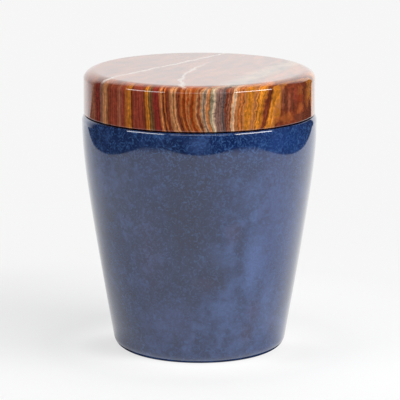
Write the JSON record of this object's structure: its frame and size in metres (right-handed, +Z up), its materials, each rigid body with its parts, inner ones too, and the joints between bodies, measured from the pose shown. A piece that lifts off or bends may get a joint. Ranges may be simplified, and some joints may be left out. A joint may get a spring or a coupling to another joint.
{
  "type": "funeral urn",
  "caption": "Round funeral urn, hollow and tapered down from a soft upright shoulder, closed by a thick flat disc lid that rests on the rim and lifts off.",
  "frame": {"origin": "centre of the underside, on the surface that the urn stands on", "axes": "+Z up along the turning axis; the picture looks along +Y, with +X to its right"},
  "size_m": [0.2, 0.2, 0.2408],
  "materials": {
    "blue_stone": "polished clouded blue stone",
    "banded_onyx": "polished banded brown onyx"
  },
  "bodies": {
    "root": {"urn_body": "blue_stone", "lid": "banded_onyx"}
  },
  "joints": []
}
